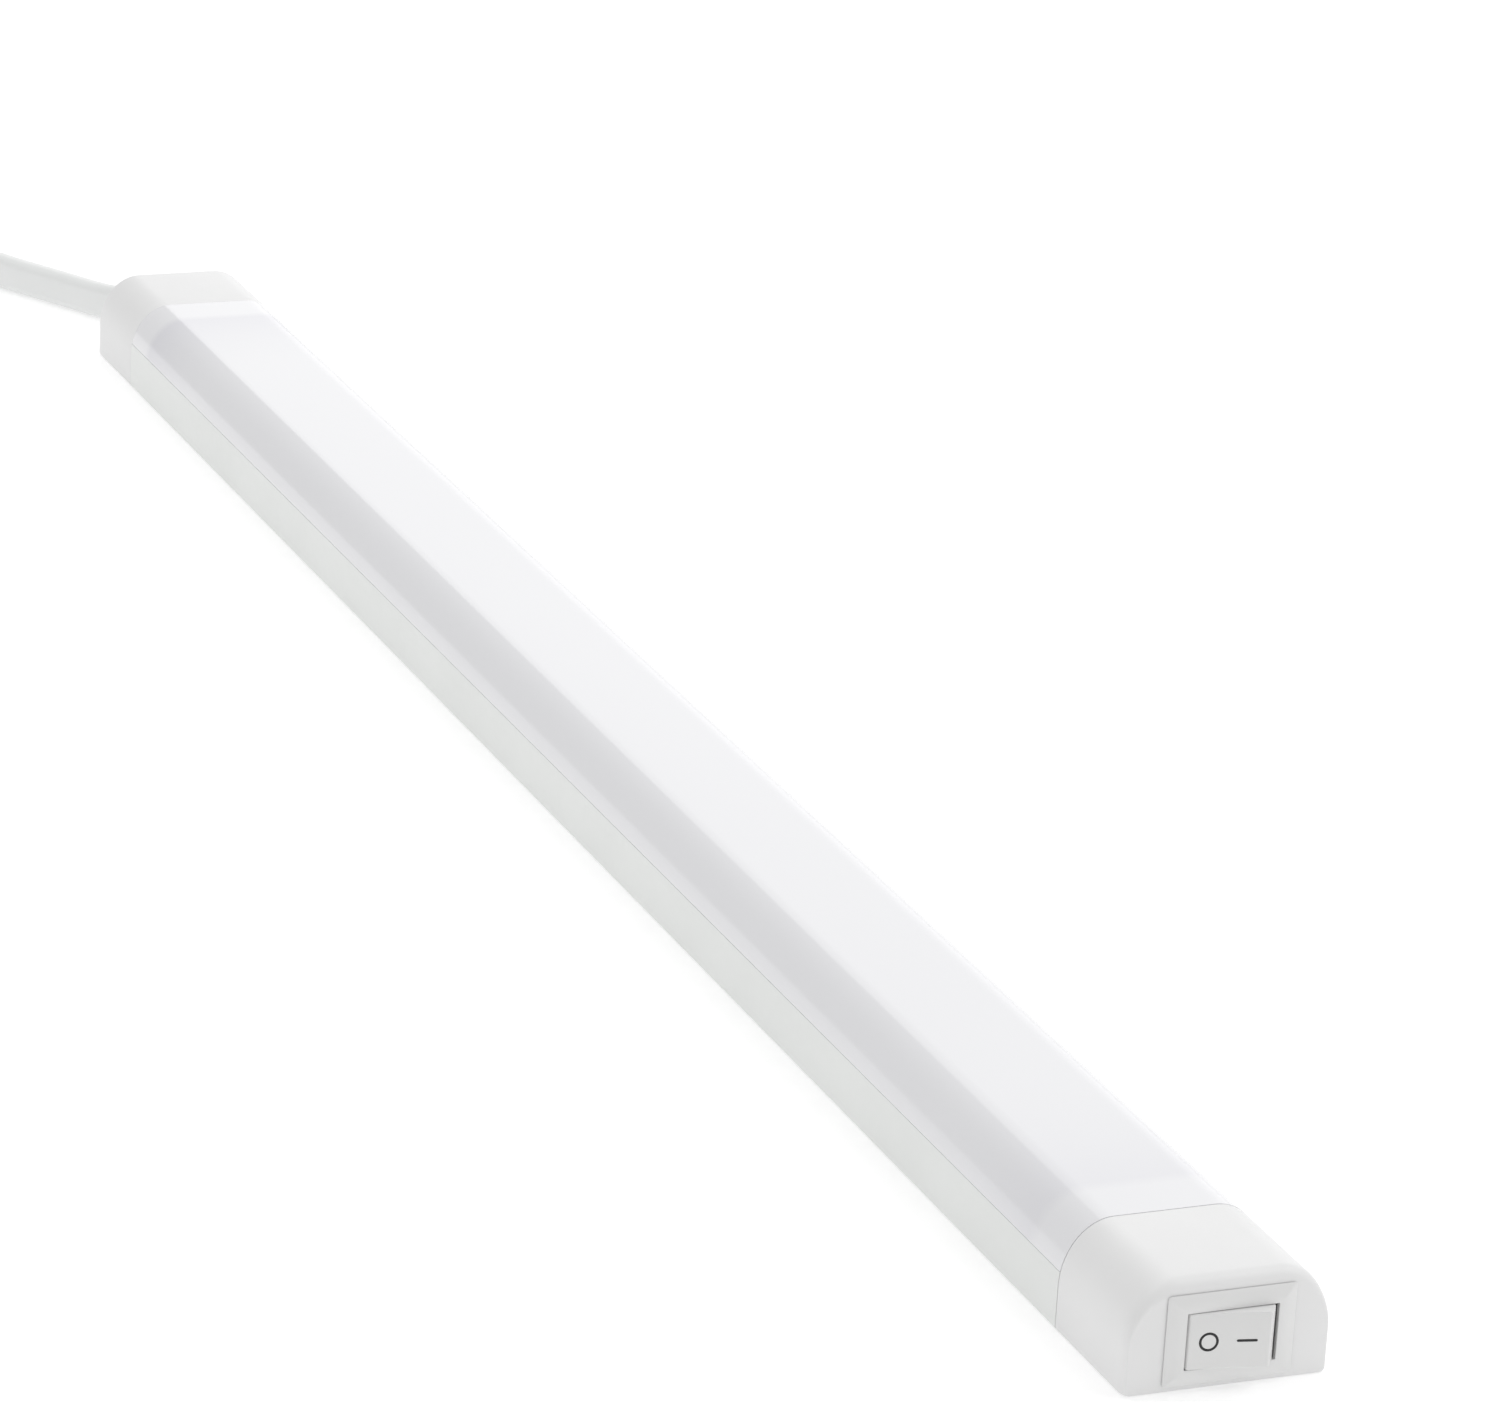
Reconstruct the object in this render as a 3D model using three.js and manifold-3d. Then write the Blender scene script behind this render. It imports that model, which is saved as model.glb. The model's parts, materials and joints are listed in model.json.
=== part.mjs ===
// A slim led light bar with a rocker switch in one end and a flat mains lead at the other.
// Millimetres, +Z up. +X points to the switch end, +Y across the bar.
// The origin is the centre of the underside of the bar, with the lead left out.

import * as THREE from 'three';
import { mergeVertices } from 'three/addons/utils/BufferGeometryUtils.js';
import Module from 'manifold-3d';

const wasm = await Module();
wasm.setup();

// ---------- driving dimensions ----------

// rocker switch, placed from the centre of its opening on the cap's outer face
const switchLevel = 5.9;
const bezel = { y: 15, z: 10.5 };
const bezelProud = 0.7;
const bezelEdge = 0.3;
const bezelSlope = 1.5;
const opening = { y: 10.65, z: 6.53 };
const lipBottom = 0.1;
const tub = { y: 13.2, z: 8.7, inside: 11.9, back: -9.2, floor: -8.2 };
const tubGap = 0.15;

// the level rocker, across and out from its own axis; one side is pressed in
const pivotX = -2.3;
const rockerTilt = THREE.MathUtils.degToRad(10);
const rockerRidge = { x: 3.92, y: 4.43 };
const rockerFoot = { x: 2.2, y: 5.12 };
const rockerSkirt = { x: 1.2, y: 5 };
const rockerHub = { x: -0.9, y: 1.7 };
const rockerHalf = 3.05;
const rockerHollow = 0.2;
const rockerProud = pivotX
  + rockerRidge.x * Math.cos(rockerTilt) + rockerRidge.y * Math.sin(rockerTilt);
const stemHalf = 2;
const stemEnd = -2.3;
const boreRadius = 1.2;
const trunnionRadius = 0.7;

// the contact lever and the two blades
const leverX = -6.5;
const leverTilt = THREE.MathUtils.degToRad(6);
const bladeEnd = -14.6;
const bladeSide = 3.4;
const bladeHalf = 1.4;
const contactX = -7.35;

// the bar
const barLength = 380;
const barWidth = 24;
const barHeight = 12.7;
const farFace = -(barLength + rockerProud) / 2;
const nearFace = farFace + barLength;
const shoulderWide = 6;
const shoulderHigh = 7.4;
const bottomRadius = 0.5;
const splitHeight = 6.8;
const splitGap = 0.08;
const wall = 1.1;
const floorThick = 1.3;
const seamGap = 0.1;
const arcSteps = 7;

// end caps
const nearCapLength = 17.1;
const farCapLength = 17.6;
const capWall = 1.4;
const topRound = 1.6;
const sideRound = 0.4;
const plugDepth = 7.5;
const plugFloor = 1.5;
const plugFloorTop = 4.1;
const plugNarrow = 8.1;
const plugWide = 9.5;
const wireNotch = 3.2;
const nearSeam = nearFace - nearCapLength;
const farSeam = farFace + farCapLength;

// cap screws, driven from below
const screwInset = 3.8;
const screwSide = 5.6;
const screwRadius = 1.25;
const screwHead = 2.1;
const screwTop = 3.7;
const screwClearance = 0.2;

// led board and what it carries
const boardHalf = 160;
const boardWidth = 18.4;
const boardBottom = 3.55;
const boardThick = 1;
const boardTop = boardBottom + boardThick;
const ledgeTop = 3.5;
const ledgeThick = 0.5;
const ledgeReach = 8.4;
const ledCount = 20;
const ledPitch = 15.8;
const ledSize = { x: 2.8, y: 3.5, z: 0.7 };
const rest = 0.05;

// inner wires
const wireRadius = 0.75;
const wireLevel = 2.3;
const wireSide = 1.2;

// the flat lead
const cordWide = 5.4;
const cordThick = 3.3;
const cordLevel = 4.8;
const cordFloor = 2.75;
const fit = 0.3;

// the hank of spare lead and its plug
const hankX = farFace - 207.5;
const hankY = -9.5;
const lobeCentre = 36.5;
const lobeRadius = 16.4;
const waistHalf = 2.2;
const laneStep = 3.5;
const lanes = 2;
const layerStep = 5.5;
const layers = 2;
const hankTop = layerStep * layers;
const tie = { width: 8, thick: 0.9, lift: 1.3, gap: 0.8 };
const plug = { x: 14, sleeve: 18, body: 28, wide: 35.2, thick: 13.7 };
const plugLevel = hankTop + 0.3 + plug.thick / 2;
const pin = { radius: 2, length: 19, root: 5, spacing: 18.6 };

// ---------- materials ----------

function plain(color, roughness, metalness = 0) {
  return new THREE.MeshStandardMaterial({ color, roughness, metalness });
}

const finishes = {
  housing: plain(0xe6e9e4, 0.45),
  diffuser: plain(0xf1f1f6, 0.2),
  cap: plain(0xeaeaea, 0.55),
  switchPlastic: plain(0xe2e2df, 0.4),
  board: plain(0xf4f4f0, 0.5),
  phosphor: plain(0xe8d27a, 0.5),
  part: plain(0x33343a, 0.5),
  steel: plain(0xb9bcc0, 0.35, 1),
  brass: plain(0xc9a24c, 0.35, 1),
  copper: plain(0xc98a5a, 0.4, 1),
  cord: plain(0xe0e1e6, 0.45),
  brown: plain(0x6b4326, 0.5),
  blue: plain(0x2f62a8, 0.5),
  tie: plain(0x2b2b2b, 0.7),
};

// ---------- geometry helpers ----------

// axes that carry an outline drawn in (first, second) and raised along the third
const alongX = new THREE.Matrix4().makeBasis(
  new THREE.Vector3(0, 1, 0), new THREE.Vector3(0, 0, 1), new THREE.Vector3(1, 0, 0));

function point(a, b) {
  return new THREE.Vector2(a, b);
}

// an outline in (y, z), raised along X from one place to another
function prismX(points, from, to) {
  const shape = new THREE.Shape(points);
  const geometry = new THREE.ExtrudeGeometry(shape, { depth: to - from, bevelEnabled: false });
  return geometry.applyMatrix4(alongX).translate(from, 0, 0);
}

// an outline in (x, y), raised along Z
function prismZ(points, from, to) {
  const shape = new THREE.Shape(points);
  const geometry = new THREE.ExtrudeGeometry(shape, { depth: to - from, bevelEnabled: false });
  return geometry.translate(0, 0, from);
}

function block(x0, x1, y0, y1, z0, z1) {
  const geometry = new THREE.BoxGeometry(x1 - x0, y1 - y0, z1 - z0);
  return geometry.translate((x0 + x1) / 2, (y0 + y1) / 2, (z0 + z1) / 2);
}

// a turned piece: profile points are (radius, height), both ends on the axis
function turned(profile, sides = 16) {
  return new THREE.LatheGeometry(profile, sides).rotateX(Math.PI / 2);
}

function rodX(radius, from, to, sides = 16) {
  const profile = [point(0, from), point(radius, from), point(radius, to), point(0, to)];
  return turned(profile, sides).rotateY(Math.PI / 2);
}

function rodZ(radius, from, to, sides = 16) {
  return turned([point(0, from), point(radius, from), point(radius, to), point(0, to)], sides);
}

function toSolid(geometry) {
  const plainGeometry = geometry.clone();
  plainGeometry.deleteAttribute('normal');
  plainGeometry.deleteAttribute('uv');
  const merged = mergeVertices(plainGeometry, 1e-4);
  const vertProperties = new Float32Array(merged.attributes.position.array);
  const triVerts = new Uint32Array(merged.index.array);
  return new wasm.Manifold(new wasm.Mesh({ numProp: 3, vertProperties, triVerts }));
}

function toGeometry(solid) {
  const mesh = solid.getMesh();
  const geometry = new THREE.BufferGeometry();
  geometry.setAttribute('position', new THREE.BufferAttribute(mesh.vertProperties, 3));
  geometry.setIndex(new THREE.BufferAttribute(mesh.triVerts, 1));
  return geometry;
}

// one geometry with others added to it and then others cut from it
function made(base, added = [], cut = []) {
  let solid = toSolid(base);
  for (const geometry of added) {
    solid = solid.add(toSolid(geometry));
  }
  for (const geometry of cut) {
    solid = solid.subtract(toSolid(geometry));
  }
  return toGeometry(solid);
}

// a closed skin over outlines with the same number of (y, z) points, in order along X
function loft(sections) {
  const count = sections[0].points.length;
  const positions = [];
  const index = [];
  for (const { x, points } of sections) {
    for (const p of points) {
      positions.push(x, p.x, p.y);
    }
  }
  for (let s = 0; s < sections.length - 1; s += 1) {
    for (let i = 0; i < count; i += 1) {
      const next = (i + 1) % count;
      const a = s * count + i;
      const b = s * count + next;
      index.push(a, b, a + count, b, b + count, a + count);
    }
  }
  const lastStart = (sections.length - 1) * count;
  for (const [a, b, c] of THREE.ShapeUtils.triangulateShape(sections[0].points, [])) {
    index.push(a, c, b);
  }
  for (const [a, b, c] of THREE.ShapeUtils.triangulateShape(sections.at(-1).points, [])) {
    index.push(lastStart + a, lastStart + b, lastStart + c);
  }
  const geometry = new THREE.BufferGeometry();
  geometry.setAttribute('position', new THREE.Float32BufferAttribute(positions, 3));
  geometry.setIndex(index);
  return geometry;
}

// points of an elliptical shoulder about its centre, from one angle to another
function shoulder(wide, high, from, to) {
  const centre = point(barWidth / 2 - shoulderWide, barHeight - shoulderHigh);
  const points = [];
  for (let i = 0; i <= arcSteps; i += 1) {
    const angle = from + ((to - from) * i) / arcSteps;
    points.push(point(centre.x + wide * Math.cos(angle), centre.y + high * Math.sin(angle)));
  }
  return points;
}

// a half outline on the +Y side, completed with its mirror image
function mirrored(half) {
  const other = half.map((p) => point(-p.x, p.y)).reverse();
  return [...half, ...other];
}

// the bar's outline, drawn in by so much at the sides, the top and the bottom
function barOutline(side = 0, top = 0, bottom = 0) {
  const half = [
    point(barWidth / 2 - side - bottomRadius, bottom),
    point(barWidth / 2 - side, bottom + bottomRadius),
    ...shoulder(shoulderWide - side, shoulderHigh - top, 0, Math.PI / 2),
  ];
  return mirrored(half);
}

function rounded(halfY, halfZ, radius, steps = 3) {
  const points = [];
  const corners = [[1, -1, -90], [1, 1, 0], [-1, 1, 90], [-1, -1, 180]];
  for (const [y, z, start] of corners) {
    for (let i = 0; i <= steps; i += 1) {
      const angle = THREE.MathUtils.degToRad(start + (90 * i) / steps);
      const dy = radius * Math.cos(angle);
      const dz = radius * Math.sin(angle);
      points.push(point(y * (halfY - radius) + dy, z * (halfZ - radius) + dz));
    }
  }
  return points;
}

function part(name, geometry, finish) {
  const mesh = new THREE.Mesh(geometry, finish);
  mesh.name = name;
  return mesh;
}

function assembly(...children) {
  const group = new THREE.Group();
  group.add(...children);
  return group;
}

// ---------- the bar's shell ----------

const bodyStart = farSeam + seamGap;
const bodyEnd = nearSeam - seamGap;
const screwPlaces = [farSeam + seamGap + screwInset, nearSeam - seamGap - screwInset].flatMap(
  (x) => [point(x, -screwSide), point(x, screwSide)]);

// angle on an ellipse of this height at which it passes a level
function angleAt(level, high) {
  return Math.asin((level - (barHeight - shoulderHigh)) / high);
}

function screwHole(place) {
  const sink = screwHead + screwClearance;
  const profile = [
    point(0, -1), point(sink, -1), point(sink, 0.35),
    point(screwRadius + screwClearance, 1.3),
    point(screwRadius + screwClearance, screwTop + 0.3), point(0, screwTop + 0.3),
  ];
  return turned(profile, 12).translate(place.x, place.y, 0);
}

function housing() {
  const outer = barWidth / 2;
  const inner = outer - wall;
  const groove = { low: 5.3, high: 5.95, deep: 0.35 };
  const half = [
    point(outer - bottomRadius, 0),
    point(outer, bottomRadius),
    point(outer, barHeight - shoulderHigh),
    ...shoulder(shoulderWide, shoulderHigh, 0, angleAt(splitHeight - splitGap, shoulderHigh)),
    point(inner, splitHeight - splitGap),
    point(inner, groove.high),
    point(inner + groove.deep, groove.high),
    point(inner + groove.deep, groove.low),
    point(inner, groove.low),
    point(inner, ledgeTop),
    point(ledgeReach, ledgeTop),
    point(ledgeReach, ledgeTop - ledgeThick),
    point(inner, ledgeTop - ledgeThick),
    point(inner, floorThick),
  ];
  const channel = prismX(mirrored(half), bodyStart, bodyEnd);
  return part('housing', made(channel, [], screwPlaces.map(screwHole)), finishes.housing);
}

function diffuser() {
  const leg = { outer: 10.75, inner: 9.75, bottom: 5, bead: 0.25, low: 5.4, high: 5.85 };
  const innerWide = shoulderWide - wall;
  const innerHigh = shoulderHigh - wall;
  const bottom = splitHeight + splitGap;
  const half = [
    point(leg.inner, 7.2),
    point(leg.inner, leg.bottom),
    point(leg.outer, leg.bottom),
    point(leg.outer, leg.low),
    point(leg.outer + leg.bead, leg.low),
    point(leg.outer + leg.bead, leg.high),
    point(leg.outer, leg.high),
    point(leg.outer, bottom),
    ...shoulder(shoulderWide, shoulderHigh, angleAt(bottom, shoulderHigh), Math.PI / 2),
  ];
  const inside = shoulder(innerWide, innerHigh, Math.PI / 6, Math.PI / 2).reverse();
  const outline = [
    ...half,
    ...half.map((p) => point(-p.x, p.y)).reverse(),
    ...inside.map((p) => point(-p.x, p.y)).reverse(),
    ...inside,
  ];
  return part('diffuser', prismX(outline, bodyStart, bodyEnd), finishes.diffuser);
}

// ---------- end caps ----------

// the tongue that each cap pushes into the bar, and the way through it
function tongueOutline() {
  const clear = 0.2;
  const inset = wall + clear;
  return mirrored([
    point(plugNarrow, plugFloor),
    point(plugNarrow, ledgeTop + rest + 0.25),
    point(plugWide, ledgeTop + rest + 0.25),
    point(plugWide, 7.2),
    ...shoulder(shoulderWide - inset, shoulderHigh - inset, Math.PI / 6, Math.PI / 2),
  ]);
}

function tongueHole() {
  const inset = 2.5;
  return mirrored([
    point(plugWide - 1.3, plugFloorTop),
    ...shoulder(shoulderWide - inset, shoulderHigh - inset, Math.PI / 8, Math.PI / 2),
  ]);
}

// sections over the cap's outer edge, rounded more at the top than at the sides
function capSections(seam, face) {
  const outward = Math.sign(face - seam);
  const steps = 4;
  const sections = [{ x: seam, points: barOutline() }];
  for (let i = 0; i <= steps; i += 1) {
    const angle = (Math.PI / 2) * (i / steps);
    const rise = 1 - Math.cos(angle);
    sections.push({
      x: face - outward * topRound * (1 - Math.sin(angle)),
      points: barOutline(sideRound * rise, topRound * rise, sideRound * rise),
    });
  }
  return outward > 0 ? sections : sections.reverse();
}

function capBody(seam, face, added, cut) {
  const outward = Math.sign(face - seam);
  const span = (outline, from, to) => prismX(outline, Math.min(from, to), Math.max(from, to));
  const tongueEnd = seam - outward * plugDepth;
  const web = seam + outward * 1.3;
  const shell = made(loft(capSections(seam, face)), [], [
    span(barOutline(capWall, capWall, capWall), web, face - outward * capWall),
  ]);
  const low = Math.min(tongueEnd, web);
  const high = Math.max(tongueEnd, web);
  const cuts = [
    span(tongueHole(), low - 1, high + 0.01),
    block(low - 1, high + 0.01, -wireNotch, wireNotch, plugFloor - 0.2, plugFloorTop + 0.1),
    ...screwPlaces.map(screwHole),
    ...cut,
  ];
  return made(shell, [span(tongueOutline(), tongueEnd, seam + outward * 0.4), ...added], cuts);
}

function switchEndCap() {
  const halfY = tub.y / 2 + tubGap;
  const halfZ = tub.z / 2 + tubGap;
  const cutout = block(
    nearFace - 3, nearFace + 1, -halfY, halfY, switchLevel - halfZ, switchLevel + halfZ);
  return part('switch_end_cap', capBody(nearSeam, nearFace, [], [cutout]), finishes.cap);
}

const clampAt = farFace + 8.6;
const clampHalf = 2;
const clampScrewSide = 5;
const clampPostTop = 7.6;
const clampTop = 9.2;
const bushGap = 0.2;
const bushWall = 0.4;

function cordEndCap() {
  const posts = [-1, 1].map((side) => block(
    clampAt - clampHalf, clampAt + clampHalf,
    side * clampScrewSide - 1.6, side * clampScrewSide + 1.6, capWall - 0.3, clampPostTop));
  const threads = [-1, 1].map((side) => (
    rodZ(1.1, 2.5, clampPostTop + 1, 10).translate(clampAt, side * clampScrewSide, 0)));
  const halfY = cordThick / 2 + bushGap + bushWall + 0.15;
  const halfZ = cordWide / 2 + bushGap + bushWall + 0.15;
  const hole = prismX(rounded(halfY, halfZ, 1.8), farFace - 1, farFace + 3);
  hole.translate(0, 0, cordLevel);
  const geometry = capBody(farSeam, farFace, posts, [...threads, hole]);
  return part('cord_end_cap', geometry, finishes.cap);
}

// ---------- fasteners ----------

function screwGeometry(headRadius, headBottom, neck, radius, top, slotDeep) {
  const profile = [
    point(0, headBottom), point(headRadius, headBottom), point(headRadius, headBottom + 0.2),
    point(radius, neck), point(radius, top - 0.5), point(radius * 0.5, top), point(0, top),
  ];
  const reach = headRadius * 0.6;
  const slots = [
    block(-reach, reach, -0.3, 0.3, headBottom - 1, headBottom + slotDeep),
    block(-0.3, 0.3, -reach, reach, headBottom - 1, headBottom + slotDeep),
  ];
  return made(turned(profile, 12), [], slots);
}

function capScrews() {
  return screwPlaces.map((place, i) => {
    const geometry = screwGeometry(screwHead, 0.1, 1.25, screwRadius, screwTop, 0.6);
    const screw = part(`cap_screw_${i + 1}`, geometry, finishes.steel);
    screw.position.set(place.x, place.y, 0);
    return screw;
  });
}

// ---------- led board ----------

function ledBoard() {
  const halfY = boardWidth / 2;
  const geometry = block(-boardHalf, boardHalf, -halfY, halfY, boardBottom, boardTop);
  return part('led_board', geometry, finishes.board);
}

function leds() {
  const { x, y, z } = ledSize;
  const body = made(block(-x / 2, x / 2, -y / 2, y / 2, 0, z), [], [rodZ(1.15, z - 0.3, z + 1, 12)]);
  const row = [];
  for (let i = 0; i < ledCount; i += 1) {
    const led = part(`led_${String(i + 1).padStart(2, '0')}`, body.clone(), finishes.phosphor);
    led.position.set((i - (ledCount - 1) / 2) * ledPitch, 0, boardTop + rest);
    row.push(led);
  }
  return row;
}

// a moulded electronic part: a block with bevelled edges, standing on the board
function moulded(name, x, y, size, finish) {
  const bevelled = 0.2;
  const middle = rounded(size.y / 2, size.z / 2, bevelled, 1);
  const narrow = rounded(size.y / 2 - bevelled, size.z / 2 - bevelled, bevelled / 2, 1);
  const geometry = loft([
    { x: -size.x / 2, points: narrow },
    { x: -size.x / 2 + bevelled, points: middle },
    { x: size.x / 2 - bevelled, points: middle },
    { x: size.x / 2, points: narrow },
  ]).translate(0, 0, size.z / 2);
  const mesh = part(name, geometry, finish);
  mesh.position.set(x, y, boardTop + rest);
  return mesh;
}

function driverParts() {
  const side = 5.6;
  const capacitor = part('smoothing_capacitor', rodX(2.4, -4.5, 4.5, 14), finishes.part);
  capacitor.position.set(-127, -side, boardTop + rest + 2.4);
  return [
    moulded('fuse_resistor', -154, side, { x: 6.3, y: 3.2, z: 1.2 }, finishes.part),
    moulded('varistor', -154, -side, { x: 5, y: 4.4, z: 2.2 }, finishes.blue),
    moulded('bridge_rectifier', -142, side, { x: 6.4, y: 5, z: 2.4 }, finishes.part),
    moulded('driver_ic_1', -64, side, { x: 4.9, y: 3.9, z: 1.5 }, finishes.part),
    moulded('driver_ic_2', 64, side, { x: 4.9, y: 3.9, z: 1.5 }, finishes.part),
    capacitor,
  ];
}

// ---------- cords and wires ----------

function path(points) {
  return new THREE.CatmullRomCurve3(points.map((p) => new THREE.Vector3(...p)), false, 'centripetal');
}

// a cord of a given section along a route; the section's first axis stands up
function swept(points, section, steps) {
  const shape = new THREE.Shape(section);
  return new THREE.ExtrudeGeometry(shape, { steps, extrudePath: path(points), bevelEnabled: false });
}

function round(radius, sides) {
  const points = [];
  for (let i = 0; i < sides; i += 1) {
    const angle = (2 * Math.PI * i) / sides;
    points.push(point(radius * Math.cos(angle), radius * Math.sin(angle)));
  }
  return points;
}

const flatSection = rounded(cordWide / 2, cordThick / 2, cordThick / 2 - 0.05, 2);
const coreOffset = 1.35;
const cordInnerEnd = farFace + 13.1;
const wireStart = cordInnerEnd + fit;
const wireEnd = nearFace + bladeEnd - 0.4;
const solderPoint = 146;

function wires() {
  const section = round(wireRadius, 8);
  const up = switchLevel;
  const live = [
    [wireStart, 0, cordLevel - coreOffset], [-171, wireSide, 2.5], [-160, wireSide, wireLevel],
    [-80, wireSide, wireLevel], [0, wireSide, wireLevel], [80, wireSide, wireLevel],
    [158, wireSide, wireLevel], [165, 1.6, 2.9], [170, 2.7, 4.8], [wireEnd, bladeSide, up],
  ];
  const neutral = [
    [wireStart, 0, cordLevel + coreOffset], [-171, -wireSide, 4.2], [-165, -wireSide, 2.7],
    [-158, -wireSide, wireLevel], [-solderPoint, -wireSide, 2.7],
  ];
  const switched = [
    [wireEnd, -bladeSide, up], [170, -2.7, 4.8], [165, -1.6, 2.9],
    [158, -wireSide, wireLevel], [solderPoint, -wireSide, 2.7],
  ];
  return [
    part('live_wire', swept(live, section, 40), finishes.brown),
    part('neutral_wire', swept(neutral, section, 14), finishes.blue),
    part('switched_wire', swept(switched, section, 14), finishes.part),
  ];
}

function cordHold() {
  const inner = prismX(rounded(cordThick / 2, cordWide / 2, cordThick / 2 - 0.05, 2),
    farFace + fit, cordInnerEnd).translate(0, 0, cordLevel);
  const gapY = cordThick / 2 + bushGap;
  const gapZ = cordWide / 2 + bushGap;
  const sleeve = rounded(gapY + bushWall, gapZ + bushWall, 1.6);
  const flange = rounded(gapY + 1.6, gapZ + bushWall, 1.6);
  const bush = made(
    prismX(sleeve, farFace + 0.15, farFace + 5.5),
    [prismX(flange, farFace + capWall + 0.15, farFace + capWall + 1.3)],
    [prismX(rounded(gapY, gapZ, 1.5), farFace - 1, farFace + 8)]);
  bush.translate(0, 0, cordLevel);
  const bar = made(
    block(clampAt - clampHalf, clampAt + clampHalf, -7, 7, clampPostTop + rest, clampTop), [],
    [-1, 1].map((side) => rodZ(1.1, 5, 11, 10).translate(clampAt, side * clampScrewSide, 0)));
  const screws = [-1, 1].map((side, i) => {
    const geometry = screwGeometry(1.8, 0, 0.9, 0.85, 6.2, 0.6).rotateX(Math.PI);
    const screw = part(`cord_clamp_screw_${i + 1}`, geometry, finishes.steel);
    screw.position.set(clampAt, side * clampScrewSide, clampTop + 1.3);
    return screw;
  });
  return [
    part('cord_inner_end', inner, finishes.cord),
    part('cord_bush', bush, finishes.cap),
    part('cord_clamp', bar, finishes.cap),
    ...screws,
  ];
}

// the lead's route from the bar's end to the start of the hank, from the far face
const route = [
  [0, 0, cordLevel], [-6, -0.6, 4.5], [-12, -2.6, 3.6], [-17.8, -5.6, 2.9],
  [-27, -10.6, cordFloor], [-38.5, -17.1, cordFloor], [-55, -24.6, cordFloor],
  [-78, -29.2, cordFloor], [-104, -29.8, cordFloor], [-132, -29.5, cordFloor],
  [-158, -29.4, cordFloor],
];

function freeCord() {
  const points = route.map(([x, y, z]) => [farFace + x, y, z]);
  return part('cord', swept(points, flatSection, 22), finishes.cord);
}

// a dog-bone outline: two round lobes joined by two hollow sides
function hankOutline(grow) {
  const lobe = lobeRadius + grow;
  const bow = (lobeCentre ** 2 - lobeRadius ** 2 + waistHalf ** 2) / (2 * (lobeRadius - waistHalf));
  const lean = Math.atan2(bow + waistHalf, lobeCentre);
  const shape = new THREE.Shape();
  shape.absarc(lobeCentre, 0, lobe, lean - Math.PI, Math.PI - lean, false);
  shape.absarc(0, bow + waistHalf, bow - grow, -lean, lean - Math.PI, true);
  shape.absarc(-lobeCentre, 0, lobe, lean, -lean, false);
  shape.absarc(0, -bow - waistHalf, bow - grow, Math.PI - lean, lean, true);
  return shape.getPoints(14).slice(0, -1);
}

function hank() {
  const edge = laneStep * (lanes - 1) + cordThick / 2;
  const notch = block(-tie.width / 2 - 1, tie.width / 2 + 1, -20, 20, -1, tie.lift);
  const bundle = made(prismZ(hankOutline(edge), rest, hankTop), [], [notch]);
  const halfY = waistHalf + edge + tie.gap;
  const low = 0.1 + tie.thick;
  const high = hankTop + tie.lift;
  const halfZ = (high - low) / 2;
  const ring = made(
    prismX(rounded(halfY + tie.thick, halfZ + tie.thick, 1.8), -tie.width / 2, tie.width / 2), [],
    [prismX(rounded(halfY, halfZ, 1), -tie.width, tie.width)]);
  ring.translate(0, 0, (low + high) / 2);
  const tailPoints = [
    [-36, lobeRadius + laneStep, 14.1], [-28.5, 18, 14.2], [-23, 14.6, 14.4], [-12, 6.6, 15.9],
    [0, 1.9, plugLevel - 0.5], [7, 0.5, plugLevel - 0.1], [plug.x - fit, 0, plugLevel],
  ];
  const group = assembly(
    part('cord_hank', bundle, finishes.cord),
    part('cord_tie', ring, finishes.tie),
    part('cord_tail', swept(tailPoints, flatSection, 12), finishes.cord),
    plugGroup());
  group.position.set(hankX, hankY, 0);
  return group;
}

function plugGroup() {
  const halfY = plug.wide / 2;
  const halfZ = plug.thick / 2;
  const front = plug.sleeve + plug.body;
  const section = (x, y, z) => ({ x, points: rounded(y, z, Math.min(y, z) * 0.6) });
  const skin = loft([
    section(0, 3.3, 2.5), section(plug.sleeve, 4.8, 3.8),
    section(plug.sleeve + 2, 8.4, 5.4), section(plug.sleeve + 9, halfY - 2.2, halfZ - 0.4),
    section(front - 8, halfY, halfZ), section(front - 0.6, halfY, halfZ),
    section(front, halfY - 0.6, halfZ - 0.6),
  ]);
  const sides = [-1, 1];
  const place = (side) => (side * pin.spacing) / 2;
  const holes = sides.map((side) => (
    rodX(pin.radius + fit, front - pin.root, front + 1, 14).translate(0, place(side), 0)));
  const body = part('plug_body', made(skin, [], holes), finishes.cord);
  const pinProfile = [
    point(0, fit), point(pin.radius, fit), point(pin.radius, pin.root + pin.length - 1.2),
    point(pin.radius * 0.55, pin.root + pin.length), point(0, pin.root + pin.length),
  ];
  const pins = sides.map((side, i) => {
    const geometry = turned(pinProfile, 14).rotateY(Math.PI / 2);
    const mesh = part(`plug_pin_${i + 1}`, geometry, finishes.steel);
    mesh.position.set(front - pin.root, place(side), 0);
    return mesh;
  });
  const group = assembly(body, ...pins);
  group.position.set(plug.x, 0, plugLevel);
  return group;
}

// ---------- rocker switch ----------

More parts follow.
